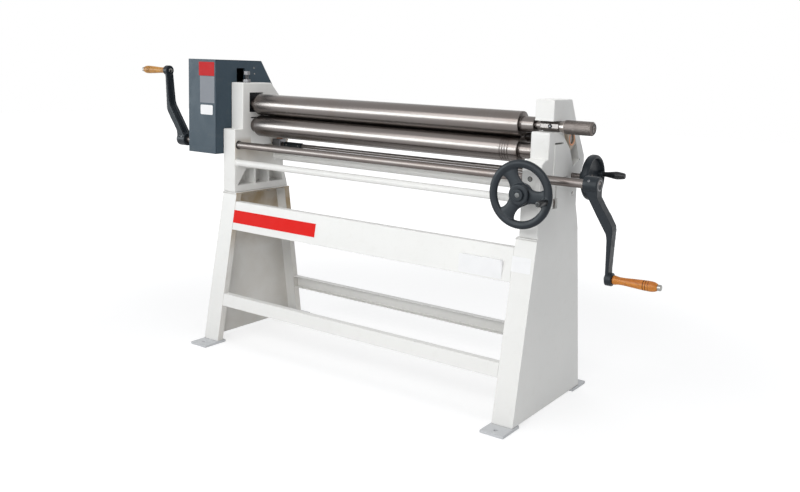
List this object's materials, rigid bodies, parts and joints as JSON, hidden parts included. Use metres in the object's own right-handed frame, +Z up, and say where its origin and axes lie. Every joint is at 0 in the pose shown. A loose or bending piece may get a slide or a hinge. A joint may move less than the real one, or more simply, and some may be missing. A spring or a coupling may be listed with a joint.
{
  "type": "slip roll",
  "caption": "Hand-cranked sheet metal slip roll with pinch rolls, a lifting bending roll, geared drive and a folded steel stand.",
  "frame": {"origin": "on the floor, under the middle of the machine's footprint and length", "axes": "+X along the rolls to the operator's right, +Y to the rear, +Z up; the operator stands on the -Y side"},
  "size_m": [2.4462, 0.658, 1.202],
  "materials": {
    "white_paint": "smooth off-white machine enamel",
    "slate_paint": "blue-grey enamel",
    "red_film": "bare red strip",
    "badge_white": "bare white plate",
    "ground_steel": "finely ground steel",
    "shaft_steel": "drawn bright bar",
    "gear_steel": "machined steel",
    "zinc_steel": "zinc plated steel",
    "bronze": "bearing bronze",
    "dark_iron": "dark painted cast iron",
    "black_plastic": "moulded black plastic",
    "grip_wood": "varnished turned wood"
  },
  "bodies": {
    "stand": {"leg_left": "white_paint", "leg_right": "white_paint", "foot_front_left": "white_paint", "foot_front_right": "white_paint", "foot_rear_left": "white_paint", "foot_rear_right": "white_paint", "upper_front_beam": "white_paint", "lower_front_beam": "white_paint", "lower_rear_beam": "white_paint", "name_strip": "red_film", "badge_plate": "badge_white", "housing_left": "white_paint", "housing_right": "white_paint", "housing_bolt_front_left": "zinc_steel", "housing_bolt_front_right": "zinc_steel", "housing_bolt_rear_left": "zinc_steel", "housing_bolt_rear_right": "zinc_steel", "front_tie_tube": "white_paint", "rear_tie_tube": "white_paint", "gear_case_plate": "slate_paint", "gear_case_cover": "slate_paint", "bearing_adjuster": "zinc_steel", "adjuster_lock_nut": "zinc_steel", "shaft_bush_left": "gear_steel", "shaft_bush_right": "gear_steel", "shaft_bracket": "gear_steel"},
    "top_carrier": {"top_swing_block": "dark_iron"},
    "top_roll_set": {"top_roll": "ground_steel", "top_roll_gear": "gear_steel", "swing_grip": "gear_steel", "grip_pin": "zinc_steel"},
    "pinch_carriage": {"bottom_block_left": "white_paint", "bottom_block_right": "white_paint"},
    "bottom_roll_set": {"bottom_roll": "ground_steel", "bottom_roll_gear": "gear_steel"},
    "upper_idler": {"idler_gear_upper": "gear_steel"},
    "lower_idler": {"reduction_cluster_gear": "gear_steel"},
    "drive_set": {"drive_shaft": "shaft_steel", "crank_left": "dark_iron", "crank_right": "dark_iron", "grip_spindle_left": "zinc_steel", "grip_spindle_right": "zinc_steel", "drive_pinion": "gear_steel"},
    "left_grip": {"crank_grip_left": "grip_wood"},
    "right_grip": {"crank_grip_right": "grip_wood"},
    "lift_carriage": {"rear_block_left": "bronze", "rear_block_right": "bronze", "lift_screw_left": "zinc_steel", "lift_screw_right": "zinc_steel"},
    "rear_roll_set": {"rear_roll": "ground_steel"},
    "left_lift_nut": {"lift_nut_left": "bronze"},
    "right_lift_nut": {"lift_nut_right": "bronze"},
    "lift_shaft_set": {"lift_shaft": "shaft_steel", "side_handwheel": "dark_iron"},
    "side_wheel_handle": {"side_handle": "black_plastic"},
    "cam_set": {"cam_shaft": "shaft_steel", "pinch_worm_wheel": "bronze"},
    "front_wheel_set": {"pinch_worm_shaft": "shaft_steel", "front_handwheel": "dark_iron"},
    "front_wheel_handle": {"front_handle": "black_plastic"}
  },
  "joints": [
    {"name": "top_roll_swing", "type": "hinge", "parent": "stand", "child": "top_carrier", "pos_m": [-0.6715, -0.027, 1.017], "axis": [0, 0, -1], "range_deg": [0, 7]},
    {"name": "top_roll_spin", "type": "hinge", "parent": "top_carrier", "child": "top_roll_set", "pos_m": [0.0485, -0.027, 1.017], "axis": [1, 0, 0], "continuous": true},
    {"name": "pinch_slide", "type": "slide", "parent": "stand", "child": "pinch_carriage", "axis": [0, 0, 1], "range_m": [-0.002, 0]},
    {"name": "bottom_roll_spin", "type": "hinge", "parent": "pinch_carriage", "child": "bottom_roll_set", "pos_m": [0.0485, -0.027, 0.9264], "axis": [1, 0, 0], "continuous": true},
    {"name": "upper_idler_spin", "type": "hinge", "parent": "stand", "child": "upper_idler", "pos_m": [-0.7275, -0.10159, 1.0092], "axis": [1, 0, 0], "continuous": true},
    {"name": "lower_idler_spin", "type": "hinge", "parent": "stand", "child": "lower_idler", "pos_m": [-0.7275, -0.10159, 0.9342], "axis": [1, 0, 0], "continuous": true},
    {"name": "drive_spin", "type": "hinge", "parent": "stand", "child": "drive_set", "pos_m": [0, -0.126, 0.8452], "axis": [1, 0, 0], "continuous": true},
    {"name": "left_grip_spin", "type": "hinge", "parent": "drive_set", "child": "left_grip", "pos_m": [-1.0515, -0.15504, 1.14681], "axis": [1, 0, 0], "continuous": true},
    {"name": "right_grip_spin", "type": "hinge", "parent": "drive_set", "child": "right_grip", "pos_m": [1.1485, -0.10988, 0.54263], "axis": [1, 0, 0], "continuous": true},
    {"name": "rear_lift", "type": "slide", "parent": "stand", "child": "lift_carriage", "axis": [0, -0.4695, 0.8829], "range_m": [-0.05, 0]},
    {"name": "rear_roll_spin", "type": "hinge", "parent": "lift_carriage", "child": "rear_roll_set", "pos_m": [0.0485, 0.08, 0.9695], "axis": [1, 0, 0], "continuous": true},
    {"name": "left_lift_nut_turn", "type": "hinge", "parent": "stand", "child": "left_lift_nut", "pos_m": [-0.6715, 0.13754, 0.86129], "axis": [0, -0.4695, 0.8829], "range_deg": [-3601, 0]},
    {"name": "right_lift_nut_turn", "type": "hinge", "parent": "stand", "child": "right_lift_nut", "pos_m": [0.7685, 0.13754, 0.86129], "axis": [0, -0.4695, 0.8829], "range_deg": [-3601, 0]},
    {"name": "side_handwheel_turn", "type": "hinge", "parent": "stand", "child": "lift_shaft_set", "pos_m": [0.8785, 0.0975, 0.84], "axis": [1, 0, 0], "range_deg": [-21601, 0]},
    {"name": "side_handle_spin", "type": "hinge", "parent": "lift_shaft_set", "child": "side_wheel_handle", "pos_m": [0.9385, 0.15543, 0.84814], "axis": [1, 0, 0], "continuous": true},
    {"name": "cam_shaft_turn", "type": "hinge", "parent": "stand", "child": "cam_set", "pos_m": [0.0485, -0.027, 0.752], "axis": [1, 0, 0], "range_deg": [-91, 0]},
    {"name": "front_handwheel_turn", "type": "hinge", "parent": "stand", "child": "front_wheel_set", "pos_m": [0.7675, -0.217, 0.7995], "axis": [0, 1, 0], "range_deg": [-1981, 0]},
    {"name": "front_handle_spin", "type": "hinge", "parent": "front_wheel_set", "child": "front_wheel_handle", "pos_m": [0.86455, -0.257, 0.78586], "axis": [0, 1, 0], "continuous": true}
  ],
  "couplings": [
    {"joint": "bottom_roll_spin", "follows": "top_roll_spin", "ratio": -1},
    {"joint": "upper_idler_spin", "follows": "top_roll_spin", "ratio": -1},
    {"joint": "lower_idler_spin", "follows": "top_roll_spin", "ratio": 1},
    {"joint": "drive_spin", "follows": "top_roll_spin", "ratio": -2.8333},
    {"joint": "left_lift_nut_turn", "follows": "rear_lift", "rad_per_m": 1256.6},
    {"joint": "right_lift_nut_turn", "follows": "rear_lift", "rad_per_m": 1256.6},
    {"joint": "side_handwheel_turn", "follows": "rear_lift", "rad_per_m": 7539.8},
    {"joint": "cam_shaft_turn", "follows": "pinch_slide", "rad_per_m": 785.4},
    {"joint": "front_handwheel_turn", "follows": "pinch_slide", "rad_per_m": 17279}
  ]
}
